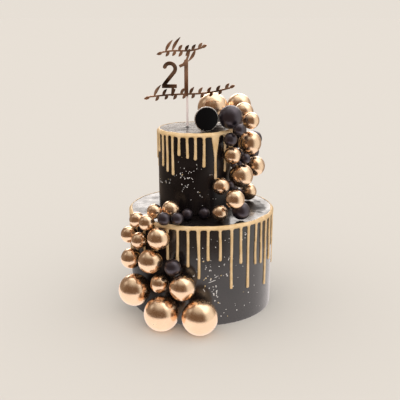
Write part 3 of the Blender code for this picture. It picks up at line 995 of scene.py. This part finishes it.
class WorldNodes(NodeKit):
    def edge(self, value, start, end):
        node = self.nodes.new("ShaderNodeMapRange")
        node.interpolation_type = "SMOOTHSTEP"
        node.inputs["From Min"].default_value = start
        node.inputs["From Max"].default_value = end
        self.links.new(value, node.inputs["Value"])
        return node.outputs["Result"]

    def band(self, value, low, high, soft):
        rise = self.edge(value, low - soft / 2, low + soft / 2)
        fall = self.edge(value, high - soft / 2, high + soft / 2)
        return self.math("MULTIPLY", rise, self.math("SUBTRACT", 1.0, fall))

    def background(self, light):
        node = self.nodes.new("ShaderNodeBackground")
        if isinstance(light, bpy.types.NodeSocket):
            self.links.new(light, node.inputs["Color"])
        else:
            node.inputs["Color"].default_value = (*light, 1)
        return node.outputs[0]

    def choose(self, test, first, second):
        node = self.nodes.new("ShaderNodeMixShader")
        self.links.new(test, node.inputs["Fac"])
        self.links.new(first, node.inputs[1])
        self.links.new(second, node.inputs[2])
        return node.outputs[0]


def build_room(backdrop_colour):
    """The light: a plain backdrop, soft light from all round, and a room for what is polished to mirror."""
    world = bpy.data.worlds.new("room")
    bpy.context.scene.world = world
    world.use_nodes = True
    kit = WorldNodes(world.node_tree)
    kit.nodes.clear()
    direction = kit.nodes.new("ShaderNodeSeparateXYZ")
    kit.links.new(kit.nodes.new("ShaderNodeTexCoord").outputs["Generated"], direction.inputs[0])
    x, y, z = direction.outputs
    turn = kit.math("DEGREES", kit.math("ARCTAN2", x, kit.math("MULTIPLY", y, -1.0)))
    rise = kit.math("DEGREES", kit.math("ARCSINE", z))
    light = None
    for window in WINDOWS:
        mask = kit.math("MULTIPLY", kit.band(turn, window.left, window.right, window.edge),
                        kit.band(rise, window.low, window.high, window.edge))
        mix = kit.nodes.new("ShaderNodeMix")
        mix.data_type = "RGBA"
        kit.links.new(mask, mix.inputs["Factor"])
        if light is None:
            mix_socket(mix, "A").default_value = (*ROOM, 1)
        else:
            kit.links.new(light, mix_socket(mix, "A"))
        mix_socket(mix, "B").default_value = (*window.light, 1)
        light = next(s for s in mix.outputs if s.type == "RGBA")
    room = kit.background(light)
    fill = kit.background(FILL)
    backdrop = kit.background(backdrop_colour)
    paths = kit.nodes.new("ShaderNodeLightPath")
    lit = kit.choose(paths.outputs["Is Glossy Ray"], fill, room)
    seen = kit.choose(paths.outputs["Is Camera Ray"], lit, backdrop)
    out = kit.nodes.new("ShaderNodeOutputWorld")
    kit.links.new(seen, out.inputs["Surface"])


def floor_finish(colour):
    """A pale floor that shows a little brighter in the polished pieces."""
    finish = Finish("floor_paint", colour, 0.9)
    finish.shader.inputs["Specular IOR Level"].default_value = 0.0
    glow = finish.nodes.new("ShaderNodeEmission")
    glow.inputs["Color"].default_value = (*FLOOR_GLOW, 1)
    paths = finish.nodes.new("ShaderNodeLightPath")
    share = finish.math("MULTIPLY", paths.outputs["Is Glossy Ray"], GLOW_SHARE)
    mix = finish.nodes.new("ShaderNodeMixShader")
    finish.links.new(share, mix.inputs["Fac"])
    finish.links.new(finish.shader.outputs[0], mix.inputs[1])
    finish.links.new(glow.outputs[0], mix.inputs[2])
    finish.links.new(mix.outputs[0], finish.nodes["Material Output"].inputs["Surface"])
    return finish.material


def floor_ring(name, inner, outer, material):
    """A flat ring of floor, or a disc where inner is 0."""
    steps = FLOOR_SEGMENTS
    points = []
    for rho in (inner, outer):
        for k in range(steps):
            turn = 2 * math.pi * k / steps
            points.append((rho * math.cos(turn), rho * math.sin(turn), 0))
    faces = [(k, steps + k, steps + (k + 1) % steps, (k + 1) % steps) for k in range(steps)]
    if inner == 0:
        points = points[steps:]
        faces = [tuple(range(steps))]
    mesh = bpy.data.meshes.new(name)
    mesh.from_pydata(points, [], faces)
    mesh.materials.append(material)
    ring = bpy.data.objects.new(name, mesh)
    bpy.context.scene.collection.objects.link(ring)
    return ring


class CAKE_OT_light_stage(bpy.types.Operator):
    """Sets the pale floor, the room's light and the camera"""
    bl_idname = "cake.light_stage"
    bl_label = "Light the stage"

    def execute(self, context):
        scene = context.scene
        settings = scene.cake_stage
        scene.view_settings.view_transform = "Standard"
        material = floor_finish(settings.floor)
        floor_ring("floor_near", 0, FLOOR_REACH, material)
        far = floor_ring("floor_far", FLOOR_REACH, FLOOR_EDGE, material)
        far.visible_glossy = False
        build_room(settings.backdrop)

        sun = bpy.data.lights.new("key", "SUN")
        sun.energy = settings.sun
        sun.angle = settings.spill
        key = bpy.data.objects.new("key", sun)
        key.rotation_euler = (math.radians(50), math.radians(4), math.radians(4))
        key.visible_glossy = False
        scene.collection.objects.link(key)

        lens = bpy.data.cameras.new("camera")
        lens.lens = LENS
        lens.sensor_width = 36
        camera = bpy.data.objects.new("camera", lens)
        camera.location = CAMERA_PLACE
        camera.rotation_euler = (math.radians(90 - CAMERA_TILT), 0, 0)
        scene.collection.objects.link(camera)
        scene.camera = camera
        return {"FINISHED"}


class CAKE_PT_panel(bpy.types.Panel):
    """Lists the cake's pieces and their settings"""
    bl_idname = "CAKE_PT_panel"
    bl_label = "Drip Cake"
    bl_space_type = "VIEW_3D"
    bl_region_type = "UI"
    bl_category = "Drip Cake"

    def draw(self, context):
        for operator in OPERATORS:
            self.layout.operator(operator.bl_idname)
        for name in GROUPS:
            box = self.layout.box()
            group = getattr(context.scene, name)
            for key in group.bl_rna.properties.keys():
                if key not in ("rna_type", "name"):
                    box.prop(group, key)


GROUPS = {"cake_icing": IcingSettings, "cake_drip": DripSettings, "cake_balls": BallSettings,
          "cake_topper": TopperSettings, "cake_stage": StageSettings}
OPERATORS = (CAKE_OT_ice_tiers, CAKE_OT_pour_drips, CAKE_OT_gold_balls, CAKE_OT_black_balls,
             CAKE_OT_scatter_specks, CAKE_OT_cut_topper, CAKE_OT_set_plaque, CAKE_OT_light_stage)


def register():
    for group in (*GROUPS.values(), *OPERATORS, CAKE_PT_panel):
        bpy.utils.register_class(group)
    for name, group in GROUPS.items():
        setattr(bpy.types.Scene, name, PointerProperty(type=group))


def unregister():
    for name in GROUPS:
        delattr(bpy.types.Scene, name)
    for group in (CAKE_PT_panel, *OPERATORS, *GROUPS.values()):
        bpy.utils.unregister_class(group)


def main():
    register()
    bpy.ops.cake.ice_tiers()
    bpy.ops.cake.pour_drips()
    bpy.ops.cake.gold_balls()
    bpy.ops.cake.black_balls()
    bpy.ops.cake.scatter_specks()
    bpy.ops.cake.cut_topper()
    bpy.ops.cake.set_plaque()
    bpy.ops.cake.light_stage()


if __name__ == "__main__":
    main()
